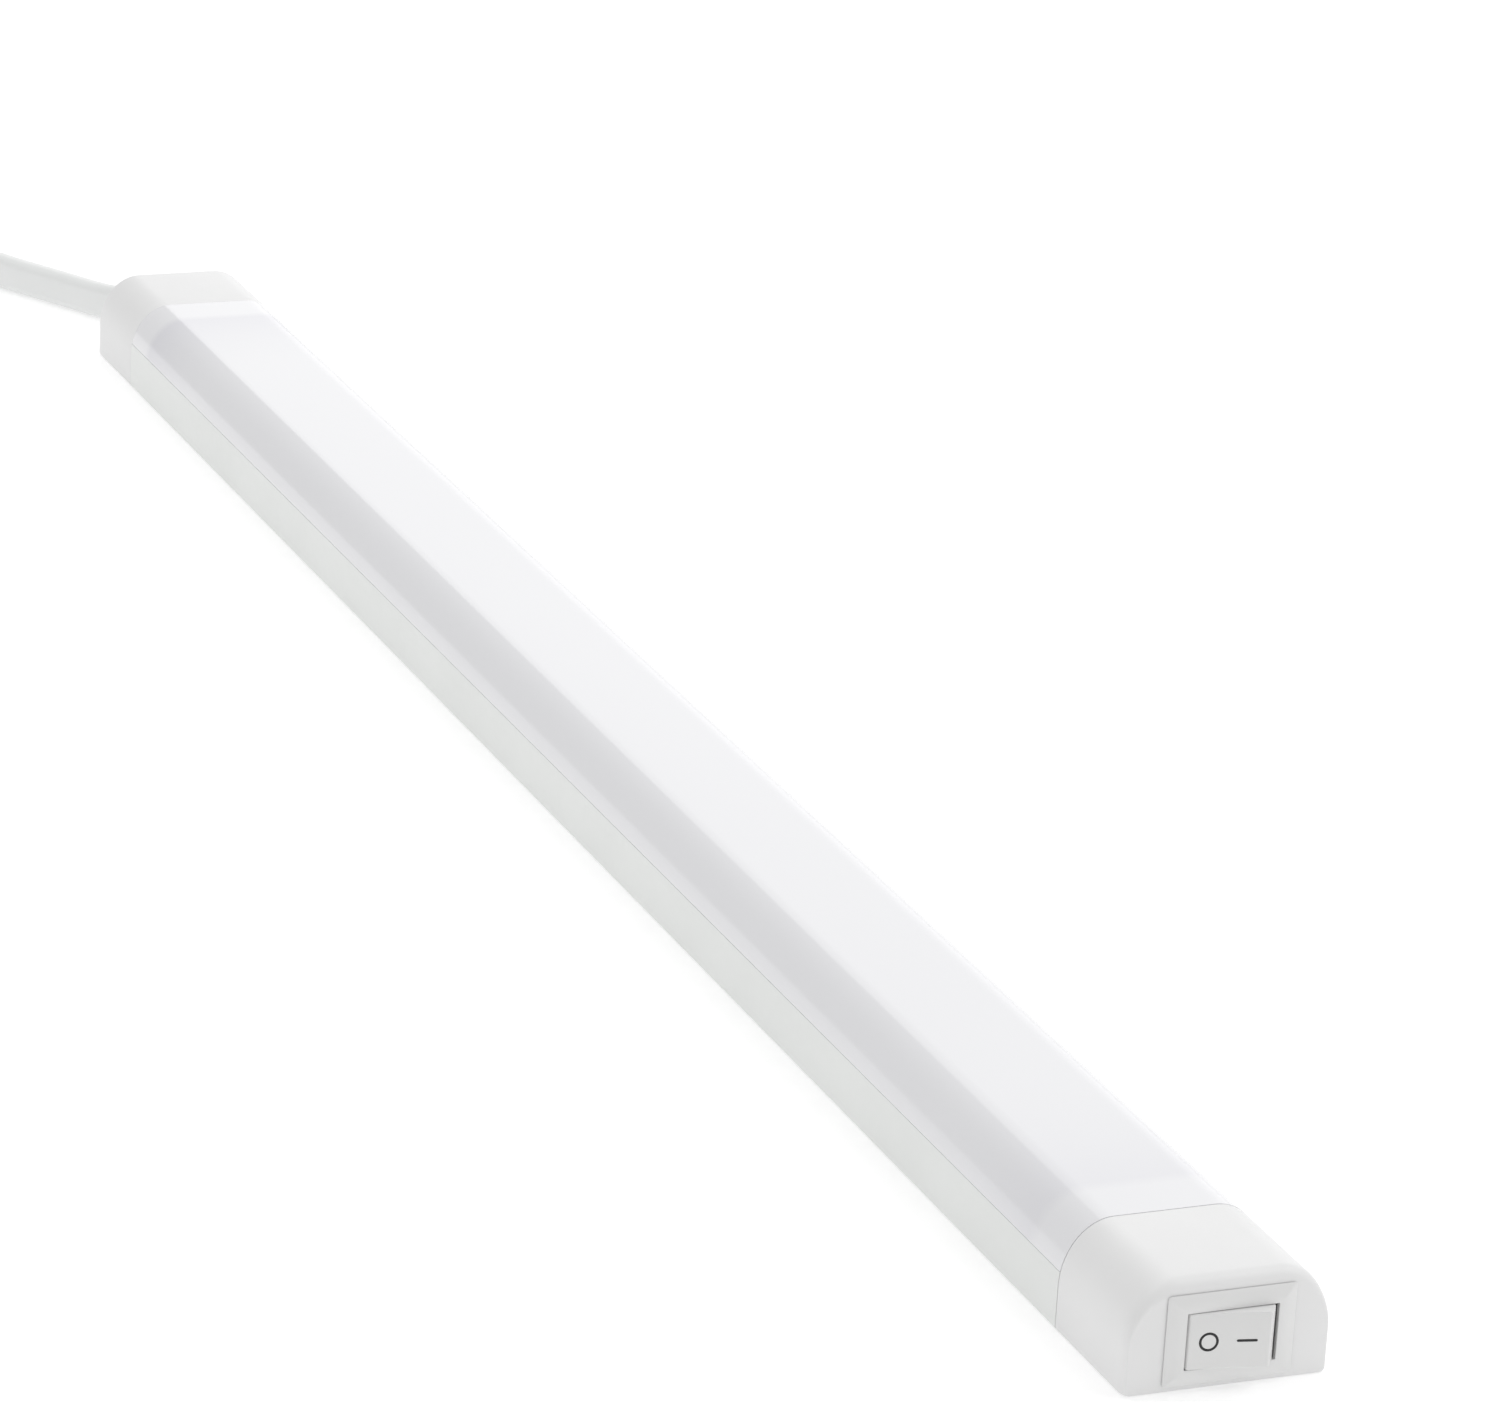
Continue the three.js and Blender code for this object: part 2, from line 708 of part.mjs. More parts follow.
function switchFrame() {
  const slope = bezelProud - bezelEdge;
  const flange = loft([
    { x: 0, points: rounded(bezel.y / 2, bezel.z / 2, 0.4, 1) },
    { x: bezelEdge, points: rounded(bezel.y / 2, bezel.z / 2, 0.4, 1) },
    { x: bezelEdge + slope, points: rounded(bezel.y / 2 - bezelSlope, bezel.z / 2 - bezelSlope, 0.3, 1) },
  ]);
  const halfY = opening.y / 2;
  const halfZ = opening.z / 2;
  const blades = [-1, 1].map((side) => block(
    tub.back - 1, tub.floor + 1,
    side * bladeSide - 0.55, side * bladeSide + 0.55, -bladeHalf - fit, bladeHalf + fit));
  const pocket = rodZ(trunnionRadius + 0.2, -halfZ - 0.75, halfZ + 0.75, 12).translate(pivotX, 0, 0);
  const geometry = made(
    flange,
    [block(tub.back, 0.2, -tub.y / 2, tub.y / 2, -tub.z / 2, tub.z / 2)],
    [
      block(0, bezelProud + 1, -halfY, halfY, -halfZ, halfZ),
      block(tub.floor, lipBottom, -tub.inside / 2, tub.inside / 2, -halfZ, halfZ),
      pocket,
      ...blades,
    ]);
  return part('switch_frame', geometry, finishes.switchPlastic);
}

// the rocker about its own axis, level
function rockerBody() {
  const reach = rockerRidge.y;
  const face = [];
  for (let i = -4; i <= 4; i += 1) {
    const share = i / 4;
    face.push(point(rockerRidge.x - rockerHollow * (1 - share ** 2), reach * share));
  }
  const lower = [
    rockerFoot, rockerSkirt, { x: rockerSkirt.x, y: rockerHub.y + 1.1 }, rockerHub,
  ].map(({ x, y }) => point(x, y));
  const outline = [...face, ...lower, ...lower.map((p) => point(p.x, -p.y)).reverse()];
  const stem = block(stemEnd, 0, -stemHalf, stemHalf, -stemHalf, stemHalf);
  const trunnion = rodZ(trunnionRadius, -opening.z / 2 - 0.55, opening.z / 2 + 0.55, 12);
  const bore = rodX(boreRadius, stemEnd - 1, 1.6, 14);
  const geometry = made(prismZ(outline, -rockerHalf, rockerHalf), [stem, trunnion], [bore]);
  return part('rocker', geometry, finishes.switchPlastic);
}

function plunger() {
  const profile = [
    point(0, -3.45), point(0.45, -3.3), point(0.8, -2.9), point(0.95, -2.4),
    point(0.95, -1.2), point(0, -1.2),
  ];
  return part('rocker_plunger', turned(profile, 12).rotateY(Math.PI / 2), finishes.brass);
}

function plungerSpring() {
  const turns = 3.5;
  const from = -1;
  const to = 1.3;
  const points = [];
  for (let i = 0; i <= turns * 10; i += 1) {
    const angle = (2 * Math.PI * i) / 10;
    const x = from + ((to - from) * i) / (turns * 10);
    points.push([x, 0.72 * Math.cos(angle), 0.72 * Math.sin(angle)]);
  }
  return part('plunger_spring', swept(points, round(0.16, 5), 42), finishes.steel);
}

function contactLever() {
  const strip = block(0.15, 0.45, -3.9, 3.9, -1.5, 1.5);
  const tip = rodX(0.8, -0.12, 0.2, 10).translate(0, -bladeSide, 0);
  return part('contact_lever', made(strip, [tip]), finishes.copper);
}

function terminals() {
  const blade = (side, front) => block(
    bladeEnd, front, side * bladeSide - 0.25, side * bladeSide + 0.25, -bladeHalf, bladeHalf);
  const ridgeTop = leverX - 0.2;
  const plateBack = tub.floor + rest;
  const common = made(blade(1, plateBack + 0.3), [
    block(plateBack, plateBack + 0.5, -0.6, bladeSide + 0.25, -bladeHalf, bladeHalf),
    block(plateBack, ridgeTop, -0.25, 0.25, -bladeHalf, bladeHalf),
  ]);
  const switched = made(blade(-1, contactX - 0.3), [
    rodX(0.9, contactX - 0.6, contactX, 10).translate(0, -bladeSide, 0),
  ]);
  return [
    part('common_terminal', common, finishes.brass),
    part('switched_terminal', switched, finishes.brass),
  ];
}

function rockerSwitch() {
  const rocking = assembly(rockerBody(), plunger(), plungerSpring());
  rocking.position.set(pivotX, 0, 0);
  rocking.rotation.z = -rockerTilt;
  const lever = assembly(contactLever());
  lever.position.set(leverX, 0, 0);
  lever.rotation.z = leverTilt;
  const group = assembly(switchFrame(), rocking, lever, ...terminals());
  group.position.set(nearFace, 0, switchLevel);
  return group;
}

export default assembly(
  housing(),
  diffuser(),
  switchEndCap(),
  cordEndCap(),
  ...capScrews(),
  ledBoard(),
  ...leds(),
  ...driverParts(),
  ...wires(),
  ...cordHold(),
  rockerSwitch(),
  freeCord(),
  hank(),
);
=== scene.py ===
import json
import math

import bpy
from mathutils import Matrix, Vector


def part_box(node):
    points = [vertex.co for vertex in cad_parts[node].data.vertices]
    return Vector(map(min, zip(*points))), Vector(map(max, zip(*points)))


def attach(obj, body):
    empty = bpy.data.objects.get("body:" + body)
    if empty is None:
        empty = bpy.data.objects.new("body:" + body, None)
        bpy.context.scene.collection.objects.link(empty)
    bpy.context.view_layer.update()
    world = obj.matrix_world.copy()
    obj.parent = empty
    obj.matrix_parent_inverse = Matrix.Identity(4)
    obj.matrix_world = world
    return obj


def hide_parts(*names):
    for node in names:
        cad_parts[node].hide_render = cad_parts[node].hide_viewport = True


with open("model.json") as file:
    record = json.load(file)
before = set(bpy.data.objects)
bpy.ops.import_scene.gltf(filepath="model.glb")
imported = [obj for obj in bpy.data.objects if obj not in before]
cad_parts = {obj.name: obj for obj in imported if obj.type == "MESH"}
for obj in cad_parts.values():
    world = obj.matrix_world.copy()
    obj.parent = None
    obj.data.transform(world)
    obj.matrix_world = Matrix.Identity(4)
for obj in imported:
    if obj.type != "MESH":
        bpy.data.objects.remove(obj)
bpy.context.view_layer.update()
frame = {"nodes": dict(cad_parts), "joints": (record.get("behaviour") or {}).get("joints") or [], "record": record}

MM = 0.001

# ---------- places and sizes, in millimetres, read from the frame where it has them ----------

HOUSING_LOW, HOUSING_HIGH = (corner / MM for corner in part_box("housing"))
_, NEAR_CAP_HIGH = (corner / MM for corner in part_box("switch_end_cap"))
FAR_CAP_LOW, _ = (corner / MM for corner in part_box("cord_end_cap"))
HANK_LOW, HANK_HIGH = (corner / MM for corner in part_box("cord_hank"))
TIE_LOW, TIE_HIGH = (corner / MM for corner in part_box("cord_tie"))
PLUG_LOW, PLUG_HIGH = (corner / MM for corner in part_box("plug_body"))
_, BEZEL_HIGH = (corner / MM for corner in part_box("switch_frame"))
JOINTS = {joint["name"]: joint for joint in frame["joints"]}
PIVOT = Vector(JOINTS["rocker_tilt"]["pos_m"]) / MM
ROCKER_TILT = math.radians(JOINTS["rocker_tilt"]["range_deg"][1] / 2)

NEAR_FACE = NEAR_CAP_HIGH.x
FAR_FACE = FAR_CAP_LOW.x
HALF_WIDTH = HOUSING_HIGH.y
HEIGHT = NEAR_CAP_HIGH.z
NEAR_SEAM_GAP = 0.07
FAR_SEAM_GAP = 0.06
NEAR_SEAM = HOUSING_HIGH.x + 0.1
FAR_SEAM = HOUSING_LOW.x - 0.1
SHOULDER_WIDE = 6.0
SHOULDER_HIGH = 7.4
SPLIT = 6.8
WALL = 1.1
CAP_WALL = 1.4
SWITCH_LEVEL = PIVOT.z

# ---------- camera ----------

CAMERA_PLACE = Vector((NEAR_FACE + 553.1, -290.6, 297.5))
CAMERA_YAW = math.radians(22.76)
CAMERA_PITCH = math.radians(19.8)
CAMERA_ROLL = math.radians(3.26)
CAMERA_LENS = 156.5


def make_camera():
    """A long lens looking down the bar from the switch end."""
    forward = Vector((
        -math.cos(CAMERA_YAW) * math.cos(CAMERA_PITCH),
        math.sin(CAMERA_YAW) * math.cos(CAMERA_PITCH),
        -math.sin(CAMERA_PITCH),
    ))
    level_right = Vector((math.sin(CAMERA_YAW), math.cos(CAMERA_YAW), 0))
    level_up = level_right.cross(forward)
    right = math.cos(CAMERA_ROLL) * level_right + math.sin(CAMERA_ROLL) * level_up
    up = math.cos(CAMERA_ROLL) * level_up - math.sin(CAMERA_ROLL) * level_right
    data = bpy.data.cameras.new("camera")
    data.lens = CAMERA_LENS
    data.sensor_width = 36
    data.sensor_fit = "HORIZONTAL"
    data.clip_start = 0.01
    data.clip_end = 20
    camera = bpy.data.objects.new("camera", data)
    axes = Matrix((right, up, -forward)).transposed().to_4x4()
    camera.matrix_world = Matrix.Translation(CAMERA_PLACE * MM) @ axes
    bpy.context.scene.collection.objects.link(camera)
    bpy.context.scene.camera = camera


# ---------- mesh helpers, in millimetres ----------

def make_mesh(name, points, faces, sharp_over=35):
    """A mesh object from points in millimetres, smooth except over sharp edges."""
    mesh = bpy.data.meshes.new(name)
    mesh.from_pydata([Vector(p) * MM for p in points], [], faces)
    mesh.validate()
    piece = bpy.data.objects.new(name, mesh)
    bpy.context.scene.collection.objects.link(piece)
    shade(piece, sharp_over)
    return piece


def shade(piece, sharp_over=35):
    mesh = piece.data
    mesh.polygons.foreach_set("use_smooth", [True] * len(mesh.polygons))
    mesh.set_sharp_from_angle(angle=math.radians(sharp_over))
    mesh.update()


def loft(name, rings, closed=True, sharp_over=35):
    """A skin over rings that have the same number of points, with both ends closed."""
    count = len(rings[0])
    points = [p for ring in rings for p in ring]
    faces = []
    for r in range(len(rings) - 1):
        for i in range(count):
            j = (i + 1) % count
            a, b = r * count + i, r * count + j
            faces.append((a, b, b + count, a + count))
    if closed:
        faces.append(tuple(reversed(range(count))))
        start = (len(rings) - 1) * count
        faces.append(tuple(range(start, start + count)))
    return make_mesh(name, points, faces, sharp_over)


def arc(centre, radius, start, end, steps):
    """Points (a, b) round a centre; radius is one number or one for each axis; degrees."""
    wide, high = radius if isinstance(radius, tuple) else (radius, radius)
    points = []
    for i in range(steps + 1):
        angle = math.radians(start + (end - start) * i / steps)
        points.append((centre[0] + wide * math.cos(angle), centre[1] + high * math.sin(angle)))
    return points


def mirrored(half):
    return half + [(-a, b) for a, b in reversed(half)]


def rounded(half_a, half_b, radius, steps=5, centre=(0, 0)):
    """A rectangle with round corners, counter-clockwise from the lower right."""
    points = []
    for a, b, start in ((1, -1, -90), (1, 1, 0), (-1, 1, 90), (-1, -1, 180)):
        corner = (centre[0] + a * (half_a - radius), centre[1] + b * (half_b - radius))
        points += arc(corner, radius, start, start + 90, steps)
    return points


def ring_x(x, outline):
    return [(x, y, z) for y, z in outline]


def finished(piece):
    """Swaps a piece's mesh for what its modifiers make of it."""
    depsgraph = bpy.context.evaluated_depsgraph_get()
    mesh = bpy.data.meshes.new_from_object(piece.evaluated_get(depsgraph))
    piece.modifiers.clear()
    old = piece.data
    piece.data = mesh
    bpy.data.meshes.remove(old)


def cut(piece, *cutters, operation="DIFFERENCE"):
    for cutter in cutters:
        modifier = piece.modifiers.new("cut", "BOOLEAN")
        modifier.operation = operation
        modifier.solver = "EXACT"
        modifier.object = cutter
        finished(piece)
        mesh = cutter.data
        bpy.data.objects.remove(cutter)
        bpy.data.meshes.remove(mesh)
    return piece


def bevel(piece, width, segments=3, angle=40):
    modifier = piece.modifiers.new("bevel", "BEVEL")
    modifier.width = width * MM
    modifier.segments = segments
    modifier.limit_method = "ANGLE"
    modifier.angle_limit = math.radians(angle)
    modifier.harden_normals = False
    finished(piece)
    shade(piece)


def box(name, low, high):
    ring = [(low[1], low[2]), (high[1], low[2]), (high[1], high[2]), (low[1], high[2])]
    return loft(name, [ring_x(low[0], ring), ring_x(high[0], ring)])


# ---------- materials ----------

class Nodes:
    """A short way to write a material's node tree."""

    def __init__(self, name):
        self.material = bpy.data.materials.new(name)
        self.material.use_nodes = True
        self.tree = self.material.node_tree
        self.shader = self.tree.nodes["Principled BSDF"]
        coordinates = self.tree.nodes.new("ShaderNodeTexCoord")
        self.place = coordinates.outputs["Object"]

    def add(self, kind, inputs=None, **settings):
        node = self.tree.nodes.new(kind)
        for key, value in settings.items():
            setattr(node, key, value)
        for key, value in (inputs or {}).items():
            self.put(value, node.inputs[key])
        return node

    def put(self, value, socket):
        if isinstance(value, bpy.types.NodeSocket):
            self.tree.links.new(value, socket)
        else:
            socket.default_value = value

    def noise(self, scale, detail=3.0, stretch=(1, 1, 1), roughness=0.5):
        mapping = self.add("ShaderNodeMapping", {"Vector": self.place, "Scale": stretch})
        node = self.add("ShaderNodeTexNoise", {
            "Vector": mapping.outputs["Vector"], "Scale": scale, "Detail": detail,
            "Roughness": roughness})
        return node.outputs["Fac"]

    def spread(self, value, low, high, from_low=0.3, from_high=0.7):
        """A value between from_low and from_high carried over to low and high."""
        node = self.add("ShaderNodeMapRange", {
            "Value": value, "From Min": from_low, "From Max": from_high,
            "To Min": low, "To Max": high})
        return node.outputs["Result"]

    def math(self, operation, first, second):
        node = self.add("ShaderNodeMath", {0: first, 1: second}, operation=operation)
        return node.outputs["Value"]

    def mix(self, factor, first, second):
        node = self.add("ShaderNodeMix", data_type="RGBA")
        self.put(factor, node.inputs["Factor"])
        self.put(first, node.inputs[6])
        self.put(second, node.inputs[7])
        return node.outputs[2]

    def bump(self, height, strength, distance, normal=None):
        inputs = {"Height": height, "Strength": strength, "Distance": distance}
        if normal is not None:
            inputs["Normal"] = normal
        return self.add("ShaderNodeBump", inputs).outputs["Normal"]

    def set(self, **values):
        for key, value in values.items():
            self.put(value, self.shader.inputs[key.replace("_", " ")])
        return self.material


def shifted(colour, amount):
    return tuple(max(0.0, min(1.0, c + amount)) for c in colour) + (1.0,)


def moulded_plastic(name, colour, roughness, grain=2500, depth=0.00002, tint=0.012, coat=0.0):
    """Moulded plastic: fine grain, slow unevenness and slightly uneven gloss."""
    nodes = Nodes(name)
    slow = nodes.noise(60, 3)
    fine = nodes.noise(grain, 4)
    base = nodes.mix(nodes.spread(slow, 0, 1), shifted(colour, -tint), shifted(colour, tint))
    rough = nodes.spread(fine, roughness - 0.05, roughness + 0.05)
    swell = nodes.bump(nodes.noise(180, 2), 0.06, 0.0002)
    normal = nodes.bump(fine, 0.25, depth, swell)
    values = {"Base_Color": base, "Roughness": rough, "Normal": normal, "Coat_Weight": coat}
    return nodes.set(**values)


def metal(name, colour, roughness, brushed=(1, 1, 1)):
    nodes = Nodes(name)
    streaks = nodes.noise(1500, 3, brushed)
    base = nodes.mix(nodes.spread(streaks, 0, 1), shifted(colour, -0.03), shifted(colour, 0.03))
    rough = nodes.spread(streaks, roughness - 0.07, roughness + 0.07)
    normal = nodes.bump(streaks, 0.15, 0.00001)
    return nodes.set(Base_Color=base, Roughness=rough, Metallic=1.0, Normal=normal)


MATERIALS = {
    "housing": moulded_plastic("housing plastic", (0.80, 0.815, 0.80), 0.34, grain=900),
    "end_cap": moulded_plastic("end cap plastic", (0.82, 0.82, 0.82), 0.42),
    "cord_grip": moulded_plastic("cord grip plastic", (0.80, 0.80, 0.80), 0.55),
    "switch": moulded_plastic("switch plastic", (0.75, 0.75, 0.746), 0.38),
    "bezel": moulded_plastic("bezel plastic", (0.775, 0.775, 0.772), 0.38),
    "mark": moulded_plastic("mark paint", (0.012, 0.012, 0.013), 0.5, tint=0.003),
    "led": moulded_plastic("phosphor", (0.88, 0.76, 0.30), 0.6),
    "board": moulded_plastic("solder resist", (0.90, 0.90, 0.88), 0.4),
    "component": moulded_plastic("black epoxy", (0.03, 0.03, 0.032), 0.5, tint=0.005),
    "varistor": moulded_plastic("blue dip", (0.03, 0.12, 0.42), 0.35),
    "wire_brown": moulded_plastic("brown insulation", (0.16, 0.07, 0.03), 0.45),
    "wire_blue": moulded_plastic("blue insulation", (0.03, 0.12, 0.42), 0.45),
    "wire_black": moulded_plastic("black insulation", (0.02, 0.02, 0.02), 0.45, tint=0.004),
    "steel": metal("zinc plated steel", (0.62, 0.63, 0.65), 0.32),
    "brass": metal("stamped brass", (0.75, 0.55, 0.24), 0.34),
    "copper": metal("stamped copper", (0.75, 0.45, 0.28), 0.34),
    "cord": moulded_plastic("cord sheath", (0.82, 0.83, 0.825), 0.38, grain=700),
    "plug": moulded_plastic("plug plastic", (0.80, 0.80, 0.81), 0.42),
    "pin": metal("nickel plate", (0.72, 0.70, 0.66), 0.22, (1, 12, 12)),
    "tie": moulded_plastic("tie strap", (0.03, 0.03, 0.032), 0.65, tint=0.006),
}


# The cover's own colour, then a darker painted shade colour for its ends; the other four give, in millimetres in
# from each seam, where the painted shade starts and is full and where the painted light over the tongues starts
# and is full.
DIFFUSER_COLOUR = (0.805, 0.805, 0.823)
DIFFUSER_PAINTED_SHADE = (0.735, 0.732, 0.768)
PAINTED_SHADE_FADES = 36
PAINTED_SHADE_FULL = 9
PAINTED_TONGUE_LIGHT_STARTS = 8.5
PAINTED_TONGUE_LIGHT_FULL = 6.5


def diffuser_plastic():
    """Milky plastic; painted light makes it lighter over the caps' tongues and painted shade makes it darker just
    past them, standing in for what shows through the cover.
    """
    nodes = Nodes("diffuser plastic")
    colour = DIFFUSER_COLOUR
    slow = nodes.noise(30, 2, (0.2, 1, 1))
    base = nodes.mix(nodes.spread(slow, 0, 1), shifted(colour, -0.008), shifted(colour, 0.008))
    along = nodes.add("ShaderNodeSeparateXYZ", {"Vector": nodes.place}).outputs["X"]
    middle, half = (NEAR_SEAM + FAR_SEAM) / 2, (NEAR_SEAM - FAR_SEAM) / 2
    off = nodes.math("SUBTRACT", along, middle * MM)
    reach = nodes.math("ABSOLUTE", off, 0.0)
    # Painted shade: the cover turns darker towards each end, where the hollow bar shows through, and at the near
    # seam only half as much as at the far seam.
    painted_shade = nodes.spread(reach, 0, 1, (half - PAINTED_SHADE_FADES) * MM, (half - PAINTED_SHADE_FULL) * MM)
    strength = nodes.spread(along, 1, 0.5, FAR_SEAM * MM, NEAR_SEAM * MM)
    painted_shade = nodes.math("MULTIPLY", nodes.math("POWER", painted_shade, 2.0), strength)
    base = nodes.mix(painted_shade, base, shifted(DIFFUSER_PAINTED_SHADE, 0))
    # Painted light: the cover turns lighter over the caps' tongues, where the white tongues show through.
    painted_tongue_light = nodes.spread(reach, 0, 1, (half - PAINTED_TONGUE_LIGHT_STARTS) * MM, (half - PAINTED_TONGUE_LIGHT_FULL) * MM)
    base = nodes.mix(painted_tongue_light, base, shifted(colour, 0.01))
    swell = nodes.bump(nodes.noise(90, 2, (0.15, 1, 1)), 0.05, 0.0003)
    rough = nodes.spread(nodes.noise(1200, 3), 0.10, 0.16)
    return nodes.set(
        Base_Color=base, Roughness=rough, Normal=swell, IOR=1.49, Coat_Weight=0.1,
        Coat_Roughness=0.05)


MATERIALS["diffuser"] = diffuser_plastic()


def dress(piece, body, slot, *nodes, material=None):
    """Gives a piece the material named by its slot, or the material given, puts it on its body and hides the CAD
    nodes that it stands for.
    """
    piece.data.materials.clear()
    piece.data.materials.append(MATERIALS[material or slot])
    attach(piece, body)
    if nodes:
        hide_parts(*nodes)
    return piece


# ---------- the bar's shell ----------

def shoulder_angle(level, high):
    return math.degrees(math.asin((level - (HEIGHT - SHOULDER_HIGH)) / high))


def shoulder(wide, high, start, end, steps=18):
    centre = (HALF_WIDTH - SHOULDER_WIDE, HEIGHT - SHOULDER_HIGH)
    return arc(centre, (wide, high), start, end, steps)


def bar_outline(side=0.0, top=0.0, bottom=0.0):
    """The bar's outer outline, drawn in at the sides, the top and the bottom."""
    radius = 0.5
    half = arc((HALF_WIDTH - side - radius, bottom + radius), radius, -90, 0, 4)
    half += shoulder(SHOULDER_WIDE - side, SHOULDER_HIGH - top, 0, 90)
    return mirrored(half)


def make_housing():
    """The lower channel, with its board ledges and the groove that holds the diffuser."""
    outer = HALF_WIDTH
    inner = outer - WALL
    top = SPLIT - 0.01
    lip = 0.06
    half = arc((outer - 0.5, 0.5), 0.5, -90, 0, 4)
    half += shoulder(SHOULDER_WIDE, SHOULDER_HIGH, 0, shoulder_angle(top - lip, SHOULDER_HIGH), 4)
    edge = half[-1]
    half += arc((edge[0] - lip, top - lip), lip, 10, 90, 4)
    half += [
        (inner, top), (inner, 5.95), (inner + 0.35, 5.95), (inner + 0.35, 5.3), (inner, 5.3),
        (inner, 3.5), (8.4, 3.5), (8.4, 3.0), (inner, 3.0), (inner, 1.3)]
    outline = mirrored(half)
    low, high = FAR_SEAM + FAR_SEAM_GAP / 2, NEAR_SEAM - NEAR_SEAM_GAP / 2
    piece = loft("housing_shell", [ring_x(low, outline), ring_x(high, outline)])
    dress(piece, "root", "housing", "housing")


def make_diffuser():
    """The milky cover: a shell with two legs that snap into the housing."""
    bottom = SPLIT + 0.01
    lip = 0.06
    start = shoulder_angle(bottom + lip, SHOULDER_HIGH)
    outer = shoulder(SHOULDER_WIDE, SHOULDER_HIGH, start, 90, 22)
    edge = outer[0]
    foot = arc((edge[0] - lip, bottom + lip), lip, -90, -8, 4)
    half = [(9.75, 7.2), (9.75, 5.0), (10.75, 5.0), (10.75, 5.4), (11.0, 5.45), (11.0, 5.8),
            (10.75, 5.85), (10.75, bottom)]
    half += foot + outer
    inside = shoulder(SHOULDER_WIDE - WALL, SHOULDER_HIGH - WALL, 90, 30, 14)
    outline = half + [(-a, b) for a, b in reversed(half)]
    outline += [(-a, b) for a, b in reversed(inside)]
    outline += inside
    low, high = FAR_SEAM + FAR_SEAM_GAP / 2, NEAR_SEAM - NEAR_SEAM_GAP / 2
    piece = loft("diffuser_cover", [ring_x(low, outline), ring_x(high, outline)])
    dress(piece, "root", "diffuser", "diffuser")


# ---------- end caps ----------

def tongue_outline(inset, floor, side):
    half = [(side - 1.4, floor), (side - 1.4, 3.8), (side, 3.8), (side, 7.2)]
    half += shoulder(SHOULDER_WIDE - inset, SHOULDER_HIGH - inset, 30, 90, 8)
    return mirrored(half)


def cap_shell(name, seam, face, gap, top_round, side_round):
    """A cap's outer skin, rounded towards its face and with a small bead at the seam."""
    out = 1 if face > seam else -1
    rings = []
    bead = 0.12
    for i in range(4):
        turn = math.pi / 2 * i / 3
        draw = bead * (1 - math.sin(turn))
        rings.append(ring_x(seam + out * (gap / 2 + bead * (1 - math.cos(turn))),
                            bar_outline(draw, draw, draw)))
    steps = 10
    for i in range(steps + 1):
        turn = math.pi / 2 * i / steps
        rise = 1 - math.cos(turn)
        place = face - out * top_round * (1 - math.sin(turn))
        rings.append(ring_x(place, bar_outline(side_round * rise, top_round * rise, 0.12 * rise)))
    if out < 0:
        rings.reverse()
    return loft(name, rings, sharp_over=50)


def span_x(name, outline, start, end):
    low, high = min(start, end), max(start, end)
    return loft(name, [ring_x(low, outline), ring_x(high, outline)])


def make_cap(name, seam, face, gap, top_round, side_round, cutter, node):
    """A hollow cap with its tongue and an opening in its face."""
    out = 1 if face > seam else -1
    cap = cap_shell(name, seam, face, gap, top_round, side_round)
    inner = bar_outline(CAP_WALL, CAP_WALL, CAP_WALL)
    tongue_end = seam - out * 7.5
    tongue = span_x("tongue", tongue_outline(1.3, 1.5, 9.5), tongue_end, seam + out * 0.9)
    hole = span_x("hole", tongue_outline(2.5, 4.1, 8.2), tongue_end - out, seam + out * 2)
    cut(cap, span_x("cavity", inner, seam + out * 1.3, face - out * CAP_WALL))
    cut(cap, tongue, operation="UNION")
    cut(cap, hole)
    cut(cap, cutter)
    shade(cap, 50)
    dress(cap, "root", "end_cap", node)


def make_caps():
    half_y = 13.5 / 2
    half_z = 9.0 / 2
    window = box("window", (NEAR_FACE - 3, -half_y, SWITCH_LEVEL - half_z),
                 (NEAR_FACE + 1, half_y, SWITCH_LEVEL + half_z))
    make_cap("switch_end_shell", NEAR_SEAM, NEAR_FACE, NEAR_SEAM_GAP, 1.7, 0.45, window,
             "switch_end_cap")
    hole = span_x("cord hole", rounded(2.4, 3.45, 1.8, centre=(0, 4.8)), FAR_FACE - 1, FAR_FACE + 3)
    make_cap("cord_end_shell", FAR_SEAM, FAR_FACE, FAR_SEAM_GAP, 1.5, 0.45, hole,
             "cord_end_cap")


# ---------- rocker switch ----------

BEZEL_HALF = (7.5, 5.25)
OPENING_HALF = (5.325, 3.265)
WELL_HALF = 5.95
BEZEL_EDGE = 0.2
BEZEL_FLAT = 0.25
LIP_BOTTOM = 0.1
TUB_HALF = (6.6, 4.35)
TUB_FLOOR = -8.2
TUB_BACK = -9.2
BEZEL_PROUD = BEZEL_HIGH.x - NEAR_FACE


